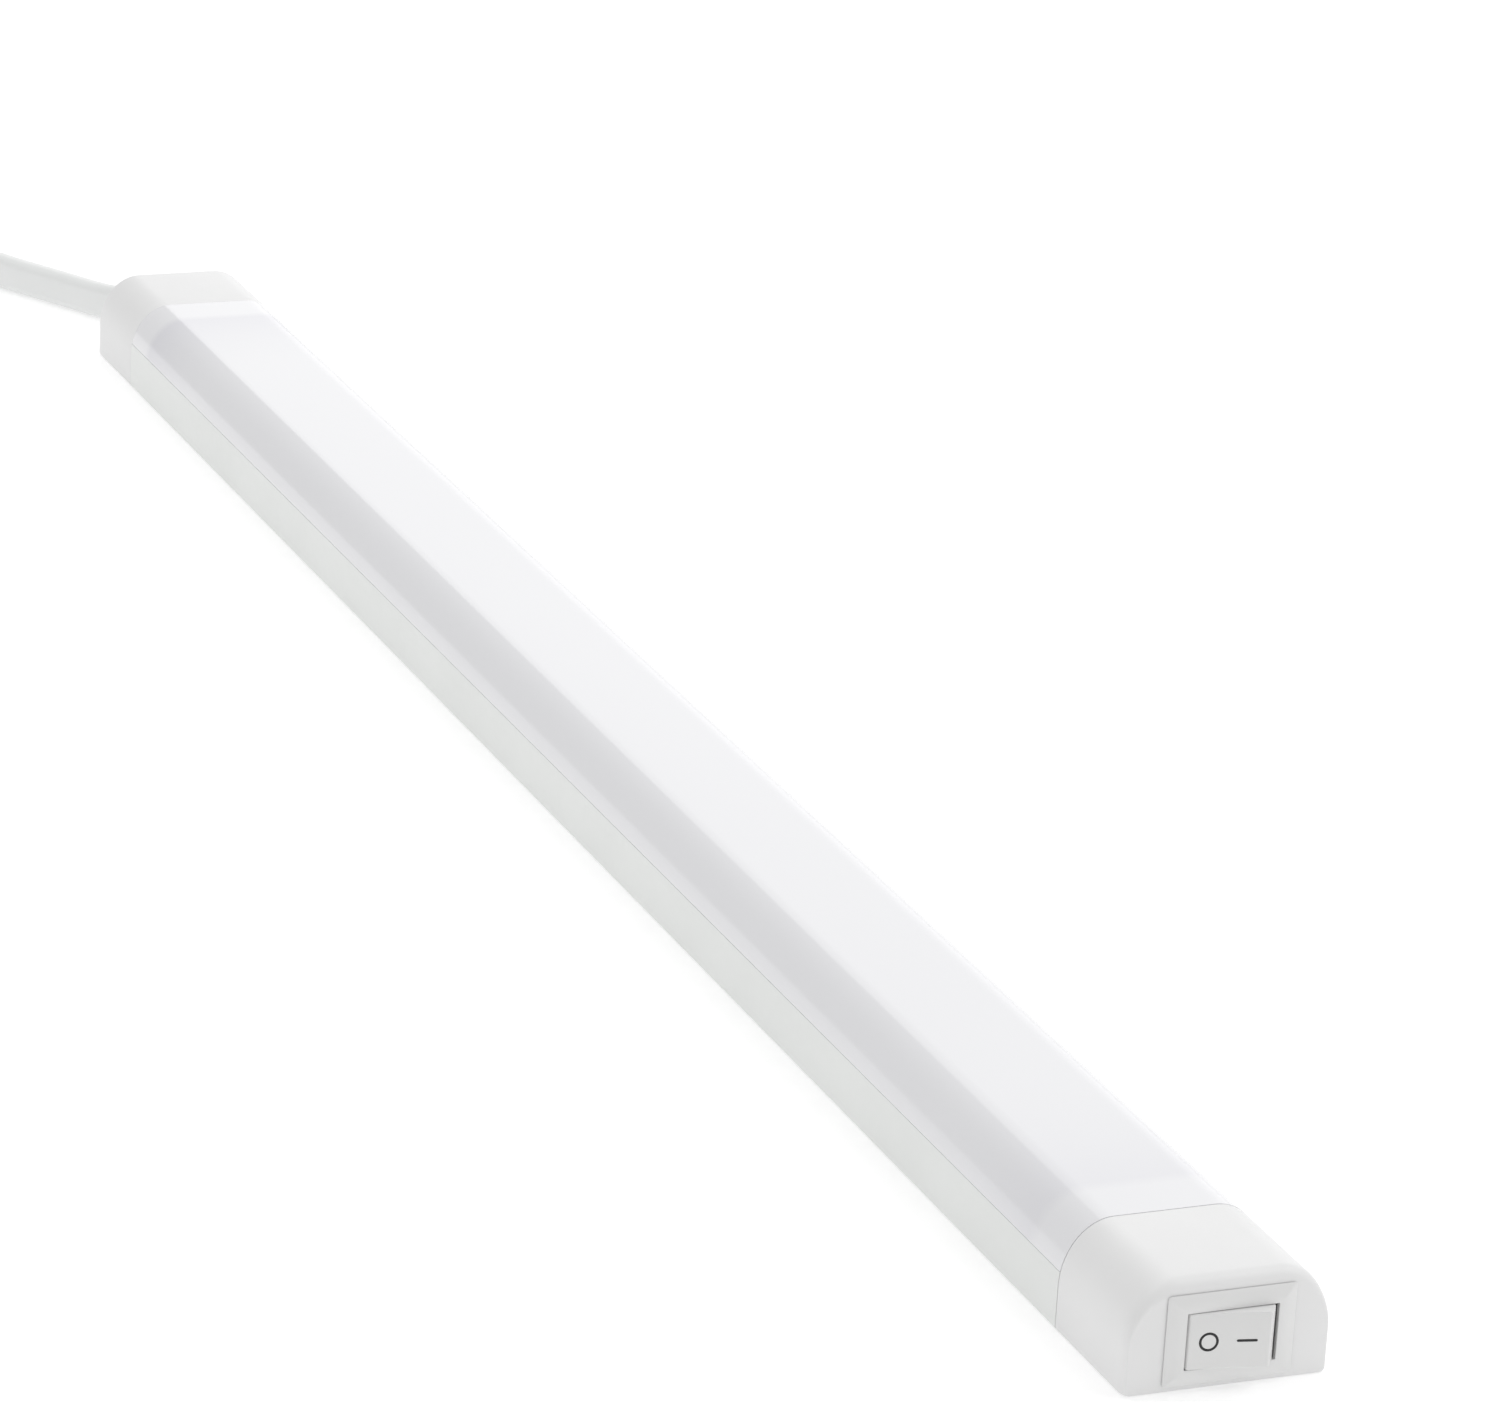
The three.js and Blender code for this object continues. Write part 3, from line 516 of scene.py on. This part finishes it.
def make_bezel():
    """The switch's frame: a softly domed border, a lip round the opening and a wider well."""
    face = NEAR_FACE

    def ring(x, half_y, half_z, radius):
        return ring_x(face + x, rounded(half_y, half_z, radius, 4, (0, SWITCH_LEVEL)))

    outer_y, outer_z = BEZEL_HALF
    open_y, open_z = OPENING_HALF
    rings = [
        ring(0.10, outer_y - 0.3, outer_z - 0.3, 0.3),
        ring(0.10, outer_y - 0.03, outer_z - 0.03, 0.38),
        ring(0.13, outer_y, outer_z, 0.4),
        ring(0.17, outer_y, outer_z, 0.4),
    ]
    steps = 6
    for i in range(steps + 1):
        share = i / steps
        rise = (BEZEL_PROUD - BEZEL_EDGE) * math.sin(math.pi / 2 * share)
        across = 0.04 + (outer_y - open_y - BEZEL_FLAT - 0.04) * share
        down = 0.04 + (outer_z - open_z - BEZEL_FLAT - 0.04) * share
        rings.append(ring(BEZEL_EDGE + rise, outer_y - across, outer_z - down, 0.36 - 0.24 * share))
    rings += [
        ring(BEZEL_PROUD, open_y + 0.05, open_z + 0.05, 0.1),
        ring(BEZEL_PROUD - 0.05, open_y, open_z, 0.08),
        ring(LIP_BOTTOM, open_y, open_z, 0.08),
        ring(LIP_BOTTOM, WELL_HALF, open_z + 0.01, 0.08),
        ring(TUB_FLOOR, WELL_HALF, open_z + 0.01, 0.08),
        ring(TUB_FLOOR, 0.3, 0.3, 0.08),
        ring(TUB_BACK, 0.3, 0.3, 0.08),
        ring(TUB_BACK, *TUB_HALF, 0.3),
        ring(LIP_BOTTOM, *TUB_HALF, 0.3),
    ]
    piece = loft("switch_bezel", rings + [rings[0]], closed=False, sharp_over=24)
    dress(piece, "root", "switch", "switch_frame", material="bezel")


# the level rocker's outline, out and across from its own axis
ROCKER_RIDGE = (3.92, 4.43)
ROCKER_FOOT = (2.2, 5.3)
ROCKER_SKIRT = (1.2, 5.0)
ROCKER_HALF = 3.2
ROCKER_HOLLOW = 0.2


def rocker_face(y):
    """How far the level rocker's face stands out from its axis at a distance across."""
    return ROCKER_RIDGE[0] - ROCKER_HOLLOW * (1 - (y / ROCKER_RIDGE[1]) ** 2)


def tilted(points):
    """Points about the rocker's axis, turned to the rest pose and put in place."""
    turn = Matrix.Rotation(-ROCKER_TILT, 3, "Z")
    return [tuple(turn @ Vector(p) + PIVOT) for p in points]


def make_rocker():
    """The rocker button, with a slightly hollow face and sloped ends."""
    reach = ROCKER_RIDGE[1]
    outline = [(rocker_face(y), y) for y in (reach * (i / 12 - 1) for i in range(25))]
    side = [ROCKER_FOOT, ROCKER_SKIRT, (1.2, 2.8), (-0.9, 1.7)]
    outline += side + [(x, -y) for x, y in reversed(side)]
    points = []
    for z in (-ROCKER_HALF, ROCKER_HALF):
        points += tilted([(x, y, z) for x, y in outline])
    count = len(outline)
    faces = [tuple(reversed(range(count))), tuple(range(count, 2 * count))]
    for i in range(count):
        j = (i + 1) % count
        faces.append((i, j, j + count, i + count))
    button = make_mesh("rocker_button", points, faces)
    bevel(button, 0.13, 3, 18)
    dress(button, "rocker", "switch", "rocker")


def make_marks():
    """The printed circle and dash, lying on the rocker's hollow face."""
    lift = 0.012

    def strip(name, inner, outer, closed):
        points = []
        for (y0, z0), (y1, z1) in zip(inner, outer):
            points += [(rocker_face(y0) + lift, y0, z0), (rocker_face(y1) + lift, y1, z1)]
        count = len(inner)
        spans = count if closed else count - 1
        faces = []
        for i in range(spans):
            j = (i + 1) % count
            faces.append((2 * i, 2 * i + 1, 2 * j + 1, 2 * j))
        piece = make_mesh(name, tilted(points), faces)
        modifier = piece.modifiers.new("thickness", "SOLIDIFY")
        modifier.thickness = lift * MM
        modifier.offset = -1
        finished(piece)
        dress(piece, "rocker", "switch", material="mark")

    centre, level, radius, stroke = -2.23, -0.05, 0.95, 0.28
    turns = [math.radians(360 * i / 48) for i in range(48)]

    def circle(reach):
        return [(centre + reach * math.cos(t), level + reach * math.sin(t)) for t in turns]

    strip("rocker_mark_off", circle(radius - stroke / 2), circle(radius + stroke / 2), True)
    start, end, half = 0.83, 3.08, 0.14
    low, high = [], []
    for i in range(25):
        share = i / 24
        y = start + (end - start) * (1 - math.cos(math.pi * share)) / 2
        inside = max(0.0, half - min(y - start, end - y))
        tall = max(0.01, math.sqrt(max(0.0, half ** 2 - inside ** 2)))
        low.append((y, level - tall))
        high.append((y, level + tall))
    strip("rocker_mark_on", low, high, False)


# ---------- the flat lead ----------

CORD_WIDE = 5.4
CORD_THICK = 3.3
CORD_LEVEL = 4.8
CORD_FLOOR = 2.75
LOBE_CENTRE = 36.5
LOBE_RADIUS = 16.4
WAIST_HALF = 2.2
LANE_STEP = 3.5
LAYER_STEP = 5.5
HANK_CENTRE = (HANK_LOW + HANK_HIGH) / 2
TIE_LIFT = 1.3

# the route from the bar's end to the hank, from the far face
ROUTE = [
    (0, 0, CORD_LEVEL), (-6, -0.6, 4.5), (-12, -2.6, 3.6), (-17.8, -5.6, 2.9),
    (-27, -10.6, CORD_FLOOR), (-38.5, -17.1, CORD_FLOOR), (-55, -24.6, CORD_FLOOR),
    (-78, -29.2, CORD_FLOOR), (-104, -29.8, CORD_FLOOR), (-132, -29.5, CORD_FLOOR),
    (-158, -29.4, CORD_FLOOR),
]

BOW = (LOBE_CENTRE ** 2 - LOBE_RADIUS ** 2 + WAIST_HALF ** 2) / (2 * (LOBE_RADIUS - WAIST_HALF))
LEAN = math.atan2(BOW + WAIST_HALF, LOBE_CENTRE)

# one turn of the hank, clockwise from the near lobe's -Y side: centre, radius at the inner
# lane, start and end angles, and whether an outer lane adds to the radius or takes from it
TURN = [
    ((LOBE_CENTRE, 0), LOBE_RADIUS, -math.pi / 2, LEAN - math.pi, 1),
    ((0, -BOW - WAIST_HALF), BOW, LEAN, math.pi - LEAN, -1),
    ((-LOBE_CENTRE, 0), LOBE_RADIUS, -LEAN, LEAN - 2 * math.pi, 1),
    ((0, BOW + WAIST_HALF), BOW, LEAN - math.pi, -LEAN, -1),
    ((LOBE_CENTRE, 0), LOBE_RADIUS, math.pi - LEAN, -math.pi / 2, 1),
]
TURN_LENGTHS = [abs(end - start) * radius for _, radius, start, end, _ in TURN]
TURN_LENGTH = sum(TURN_LENGTHS)
TOP_PASS = sum(TURN_LENGTHS[:3]) / TURN_LENGTH
LAST_LOBE = sum(TURN_LENGTHS[:4]) / TURN_LENGTH


def smooth(value, start, end):
    t = max(0.0, min(1.0, (value - start) / (end - start)))
    return t * t * (3 - 2 * t)


def on_turn(share, lane):
    """The point at a share of one turn, so many millimetres outside the inner lane."""
    way = (share % 1.0) * TURN_LENGTH
    for (cx, cy), radius, start, end, sign in TURN:
        length = abs(end - start) * radius
        if way <= length:
            break
        way -= length
    angle = start + (end - start) * way / length
    reach = radius + sign * lane
    return cx + reach * math.cos(angle), cy + reach * math.sin(angle)


# where the cord goes from one slot of the bundle to the next: (lane, layer)
SLOTS = [(1, 0), (0, 0), (0, 1), (1, 1)]
MOVES = [
    (LAST_LOBE + 0.3 * (1 - LAST_LOBE), 1.0),
    (1 + 0.5 * (TOP_PASS + LAST_LOBE), 1 + LAST_LOBE + 0.25 * (1 - LAST_LOBE)),
    (2 + TOP_PASS, 2 + 0.55 * (TOP_PASS + LAST_LOBE)),
]
LEAVES = (3 + TOP_PASS - 0.22, 3 + TOP_PASS)


def hank_path(step):
    """The wound turns, from the near lobe's -Y side to where the tail leaves."""
    points = []
    count = int(LEAVES[1] * TURN_LENGTH / step)
    for i in range(count + 1):
        turns = LEAVES[1] * i / count
        lane, layer = SLOTS[0]
        for (start, end), (next_lane, next_layer) in zip(MOVES, SLOTS[1:]):
            share = smooth(turns, start, end)
            lane += (next_lane - lane) * share
            layer += (next_layer - layer) * share
        x, y = on_turn(turns, lane * LANE_STEP)
        rise = TIE_LIFT * math.exp(-(x / 11) ** 4)
        z = CORD_FLOOR + layer * LAYER_STEP + rise + 6.0 * smooth(turns, *LEAVES)
        points.append(Vector((HANK_CENTRE.x + x, HANK_CENTRE.y + y, z)))
    return points


def spline(points, step):
    """A smooth line through points, with a point every so many millimetres."""
    chain = [points[0] * 2 - points[1]] + points + [points[-1] * 2 - points[-2]]
    line = []
    for i in range(1, len(chain) - 2):
        p0, p1, p2, p3 = chain[i - 1:i + 3]
        t1 = (p1 - p0).length ** 0.5
        t2 = t1 + (p2 - p1).length ** 0.5
        t3 = t2 + (p3 - p2).length ** 0.5
        count = max(2, int((p2 - p1).length / step))
        for k in range(count):
            t = t1 + (t2 - t1) * k / count
            a1 = p0 * (1 - t / t1) + p1 * (t / t1)
            a2 = p1 * ((t2 - t) / (t2 - t1)) + p2 * ((t - t1) / (t2 - t1))
            a3 = p2 * ((t3 - t) / (t3 - t2)) + p3 * ((t - t2) / (t3 - t2))
            b1 = a1 * ((t2 - t) / t2) + a2 * (t / t2)
            b2 = a2 * ((t3 - t) / (t3 - t1)) + a3 * ((t - t1) / (t3 - t1))
            line.append(b1 * ((t2 - t) / (t2 - t1)) + b2 * ((t - t1) / (t2 - t1)))
    line.append(points[-1])
    return line


PLUG_LEVEL = (PLUG_LOW.z + PLUG_HIGH.z) / 2


def tail_points():
    """From the top of the hank over the tie to the plug's sleeve."""
    near = [(-12, 6.6, 15.9), (0, 1.9, PLUG_LEVEL - 0.5), (7, 0.5, PLUG_LEVEL - 0.1)]
    end = Vector((PLUG_LOW.x + 3, HANK_CENTRE.y, PLUG_LEVEL))
    points = [Vector((HANK_CENTRE.x + x, HANK_CENTRE.y + y, z)) for x, y, z in near]
    return points + [end]


def cord_path(step=2.2):
    lead = [Vector((FAR_FACE + x, y, z)) for x, y, z in ROUTE]
    wound = hank_path(step)
    line = spline(lead + wound[:1], step)[:-1] + wound
    tail = spline([wound[-8], wound[-1]] + tail_points(), step)
    line += tail[len(spline([wound[-8], wound[-1]], step)) - 1:][1:]
    return line


def twist(share):
    """The cord stands on edge, and lies flat where it goes into the plug."""
    return math.pi / 2 * smooth(share, 0.955, 0.993)


def sweep(name, line, section, turn):
    """A tube of a section (up, side) along a line; turn gives its roll at a share of the way."""
    rings = []
    last = len(line) - 1
    for i, place in enumerate(line):
        ahead = (line[min(i + 1, last)] - line[max(i - 1, 0)]).normalized()
        side = ahead.cross(Vector((0, 0, 1))).normalized()
        up = side.cross(ahead)
        roll = turn(i / last)
        first = up * math.cos(roll) + side * math.sin(roll)
        second = side * math.cos(roll) - up * math.sin(roll)
        rings.append([tuple(place + first * a + second * b) for a, b in section])
    return loft(name, rings, sharp_over=60)


def make_cord():
    line = cord_path()
    section = rounded(CORD_WIDE / 2, CORD_THICK / 2, 1.35, 5)
    cord = sweep("flat_cord", line, section, twist)
    dress(cord, "root", "cord", "cord", "cord_hank", "cord_tail")
    length = sum((b - a).length for a, b in zip(line, line[1:]))
    print("cord length in mm", round(length, 1))
    return cord, line, length


def make_tie():
    """A soft strap round the waist of the hank."""
    low, high = TIE_LOW, TIE_HIGH
    centre = ((low.y + high.y) / 2, (low.z + high.z) / 2)
    half_y = (high.y - low.y) / 2
    half_z = (high.z - low.z) / 2
    thick = 0.9
    edge = 0.2
    rings = []
    for x, draw in ((low.x, edge), (low.x + edge, 0), (high.x - edge, 0), (high.x, edge)):
        rings.append(ring_x(x, rounded(half_y - draw, half_z - draw, 1.8, 6, centre)))
    for x in (high.x, low.x):
        rings.append(ring_x(x, rounded(half_y - thick, half_z - thick, 1.0, 6, centre)))
    tie = loft("hank_tie", rings + [rings[0]], closed=False)
    dress(tie, "root", "tie", "cord_tie")
    return tie


def make_plug():
    """A flat two-pin plug with a ribbed sleeve."""
    low, high = PLUG_LOW, PLUG_HIGH
    length = high.x - low.x
    half_y = (high.y - low.y) / 2
    half_z = (high.z - low.z) / 2
    sleeve = 18.0
    centre = ((low.y + high.y) / 2, PLUG_LEVEL)
    rings = []

    def ring(x, y, z, soft=0.6):
        rings.append(ring_x(low.x + x, rounded(y, z, min(y, z) * soft, 6, centre)))

    ring(0, 3.0, 2.2)
    ring(0.3, 3.3, 2.5)
    ribs = 5
    for i in range(ribs):
        start = 1.2 + (sleeve - 2.4) * i / ribs
        wide = 3.4 + 1.3 * i / ribs
        high_rib = 2.6 + 1.0 * i / ribs
        pitch = (sleeve - 2.4) / ribs
        ring(start, wide, high_rib)
        ring(start + pitch * 0.55, wide + 0.1, high_rib + 0.1)
        ring(start + pitch * 0.6, wide - 0.5, high_rib - 0.5)
        ring(start + pitch * 0.95, wide - 0.5, high_rib - 0.5)
    steps = 10
    for i in range(steps + 1):
        share = smooth(i, 0, steps)
        x = sleeve + 11 * i / steps
        ring(x, 4.9 + (half_y - 0.5 - 4.9) * share, 3.8 + (half_z - 0.2 - 3.8) * share)
    ring(length - 8, half_y, half_z)
    ring(length - 1.2, half_y, half_z)
    for i in range(1, 5):
        turn = math.pi / 2 * i / 4
        draw = 0.9 * (1 - math.cos(turn))
        ring(length - 0.9 + 0.9 * math.sin(turn), half_y - draw, half_z - draw)
    plug = loft("plug_shell", rings, sharp_over=50)
    dress(plug, "root", "plug", "plug_body")
    return plug


def make_pins():
    pieces = []
    for node in ("plug_pin_1", "plug_pin_2"):
        low, high = (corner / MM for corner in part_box(node))
        y = (low.y + high.y) / 2
        start = PLUG_HIGH.x - 1.5
        for name, slot, profile in (
            ("sleeve", "plug", [(0, 0), (1.9, 0), (1.9, 11.1), (1.75, 11.5), (0, 11.5)]),
            ("tip", "pin", [(0, 11.0), (2.0, 11.2), (2.0, 19.2), (1.7, 20.0), (1.0, 20.45), (0, 20.5)]),
        ):
            rings = []
            for x, r in [(x, r) for r, x in profile]:
                rings.append(ring_x(start + x, [
                    (y + max(r, 0.02) * math.cos(a), PLUG_LEVEL + max(r, 0.02) * math.sin(a))
                    for a in [2 * math.pi * k / 28 for k in range(28)]]))
            piece = loft(f"{node}_{name}", rings)
            if name == "tip":
                dress(piece, "root", slot, node)
            else:
                dress(piece, "root", slot)
            pieces.append(piece)
    return pieces


def make_lead():
    tie = make_tie()
    plug = make_plug()
    pins = make_pins()
    cord, line, length = make_cord()


# ---------- carried-over CAD pieces ----------

def dress_cad_nodes():
    slots = {part["node"]: part["material_slot"] for part in frame["record"]["subparts"]}
    for name, node in frame["nodes"].items():
        node.data.materials.clear()
        node.data.materials.append(MATERIALS[slots[name]])
        shade(node, 30)


# ---------- stage and light ----------

FLOOR_GLOW = 0.4
WORLD_GLOW = 0.6
KEY = 3.4
OVERHEAD = 5
BACK = 4.0


def make_floor():
    """White paper, lit evenly from below as well, so that it has no hard shadows."""
    nodes = Nodes("floor paper")
    fibre = nodes.noise(400, 4)
    base = nodes.mix(nodes.spread(fibre, 0, 1), (0.73, 0.73, 0.73, 1), (0.75, 0.75, 0.75, 1))
    material = nodes.set(
        Base_Color=base, Roughness=0.9, Specular_IOR_Level=0.1,
        Emission_Color=(1, 1, 1, 1), Emission_Strength=FLOOR_GLOW)
    size = 6000
    floor = make_mesh("floor", [(-size, -size, -0.05), (size, -size, -0.05),
                                (size, size, -0.05), (-size, size, -0.05)], [(0, 1, 2, 3)])
    floor.data.materials.append(material)


def area_light(name, place, target, size, power):
    data = bpy.data.lights.new(name, "AREA")
    data.shape = "RECTANGLE"
    data.size, data.size_y = size
    data.energy = power
    light = bpy.data.objects.new(name, data)
    light.location = place
    way = Vector(target) - Vector(place)
    light.rotation_euler = way.to_track_quat("-Z", "Y").to_euler()
    bpy.context.scene.collection.objects.link(light)


def make_light():
    scene = bpy.context.scene
    scene.view_settings.view_transform = "Standard"
    world = bpy.data.worlds.new("world")
    world.use_nodes = True
    background = world.node_tree.nodes["Background"]
    background.inputs["Color"].default_value = (1, 1, 1, 1)
    background.inputs["Strength"].default_value = WORLD_GLOW
    scene.world = world
    area_light("key", (0.34, 0.73, 0.92), (0.1, 0, 0), (0.7, 0.7), KEY)
    area_light("overhead", (-0.35, -0.15, 1.3), (0, 0, 0), (1.6, 1.0), OVERHEAD)
    area_light("back panel", (-1.2, 0.90, 0.6), (0, 0.15, 0), (1.5, 1.2), BACK)


make_camera()
make_lead()
make_housing()
make_diffuser()
make_caps()
make_bezel()
make_rocker()
make_marks()
dress_cad_nodes()
make_floor()
make_light()
